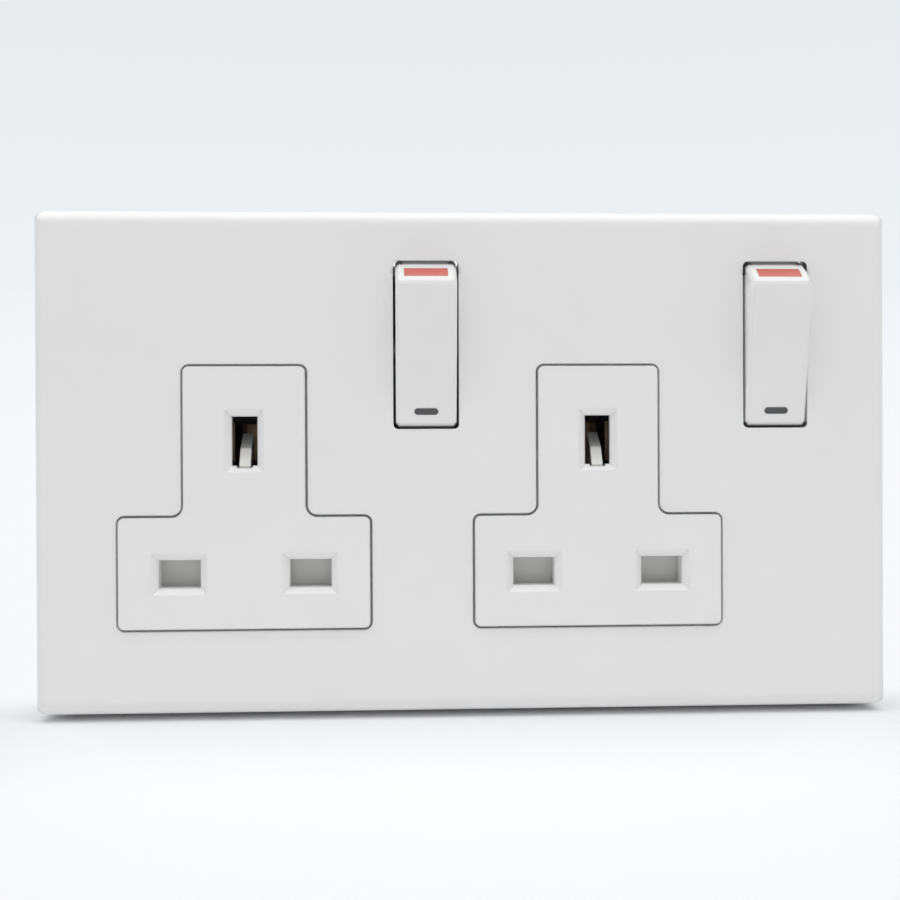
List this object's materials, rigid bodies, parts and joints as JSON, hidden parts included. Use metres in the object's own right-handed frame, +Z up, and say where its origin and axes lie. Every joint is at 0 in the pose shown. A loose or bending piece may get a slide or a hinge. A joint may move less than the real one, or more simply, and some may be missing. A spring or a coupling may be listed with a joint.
{
  "type": "twin switched wall socket",
  "caption": "Twin switched socket for three-pin plugs with flat pins, with a clip-on cover, shuttered slots and rocker switches, to fix over a recessed wall box",
  "frame": {"origin": "the middle of the two fixing holes, on the wall's surface", "axes": "X runs to the right seen from the front, Y into the wall, Z up"},
  "size_m": [0.146, 0.0357, 0.086],
  "materials": {
    "cover_plate": "moulded, satin gloss white",
    "front_moulding": "moulded, satin gloss white",
    "rear_housing": "moulded, matt off-white",
    "rocker": "moulded, satin gloss white",
    "on_flag": "translucent red",
    "pill_mark": "dark grey",
    "shutter": "moulded, matt grey",
    "plunger": "moulded, natural",
    "contact_brass": "stamped, bright",
    "contact_tip": "silver faced",
    "terminal_brass": "machined",
    "steel_screw": "zinc plated",
    "spring_steel": "drawn wire"
  },
  "bodies": {
    "socket": {"cover_plate": "cover_plate", "front_moulding": "front_moulding", "rear_housing": "rear_housing", "housing_screws": "steel_screw", "neutral_strap": "contact_brass", "live_feed_strap": "contact_brass", "earth_strap": "contact_brass", "fixed_tips": "contact_tip", "terminal_screws": "steel_screw", "terminal_earth_left": "terminal_brass", "terminal_neutral": "terminal_brass", "terminal_earth_right": "terminal_brass", "terminal_live": "terminal_brass", "earth_contact_left": "contact_brass", "neutral_contact_left": "contact_brass", "live_contact_left": "contact_brass", "live_carrier_left": "contact_brass", "shutter_spring_left": "spring_steel", "earth_contact_right": "contact_brass", "neutral_contact_right": "contact_brass", "live_contact_right": "contact_brass", "live_carrier_right": "contact_brass", "shutter_spring_right": "spring_steel"},
    "rocker_left": {"rocker_left": "rocker", "on_flag_left": "on_flag", "pill_mark_left": "pill_mark", "rocker_spring_left": "spring_steel"},
    "plunger_left": {"plunger_left": "plunger"},
    "contact_arm_left": {"contact_arm_left": "contact_brass", "moving_tip_left": "contact_tip"},
    "shutter_left": {"shutter_left": "shutter"},
    "rocker_right": {"rocker_right": "rocker", "on_flag_right": "on_flag", "pill_mark_right": "pill_mark", "rocker_spring_right": "spring_steel"},
    "plunger_right": {"plunger_right": "plunger"},
    "contact_arm_right": {"contact_arm_right": "contact_brass", "moving_tip_right": "contact_tip"},
    "shutter_right": {"shutter_right": "shutter"}
  },
  "joints": [
    {"name": "rocker_pivot_left", "type": "hinge", "parent": "socket", "child": "rocker_left", "pos_m": [-0.0068, -0.002, 0.01996], "axis": [-1, 0, 0], "range_deg": [0, 20.2]},
    {"name": "contact_arm_pivot_left", "type": "hinge", "parent": "socket", "child": "contact_arm_left", "pos_m": [-0.0068, 0.00853, 0.01996], "axis": [1, 0, 0], "range_deg": [0, 16.2]},
    {"name": "plunger_slide_left", "type": "slide", "parent": "rocker_left", "child": "plunger_left", "axis": [0, -0.9845, -0.1754], "range_m": [0, 0.0008], "stiffness_N_per_m": 900, "springref_m": -0.0015, "deforming": ["rocker_spring_left"]},
    {"name": "shutter_slide_left", "type": "slide", "parent": "socket", "child": "shutter_left", "axis": [0, 0, -1], "range_m": [0, 0.0054], "stiffness_N_per_m": 150, "springref_m": -0.003, "deforming": ["shutter_spring_left"]},
    {"name": "rocker_pivot_right", "type": "hinge", "parent": "socket", "child": "rocker_right", "pos_m": [0.05377, -0.002, 0.01996], "axis": [-1, 0, 0], "range_deg": [0, 20.2]},
    {"name": "contact_arm_pivot_right", "type": "hinge", "parent": "socket", "child": "contact_arm_right", "pos_m": [0.05377, 0.00853, 0.01996], "axis": [1, 0, 0], "range_deg": [0, 16.2]},
    {"name": "plunger_slide_right", "type": "slide", "parent": "rocker_right", "child": "plunger_right", "axis": [0, -0.9845, -0.1754], "range_m": [0, 0.0008], "stiffness_N_per_m": 900, "springref_m": -0.0015, "deforming": ["rocker_spring_right"]},
    {"name": "shutter_slide_right", "type": "slide", "parent": "socket", "child": "shutter_right", "axis": [0, 0, -1], "range_m": [0, 0.0054], "stiffness_N_per_m": 150, "springref_m": -0.003, "deforming": ["shutter_spring_right"]}
  ],
  "couplings": [
    {"joint": "contact_arm_pivot_left", "follows": "rocker_pivot_left", "ratio": 0.8},
    {"joint": "contact_arm_pivot_right", "follows": "rocker_pivot_right", "ratio": 0.8}
  ]
}
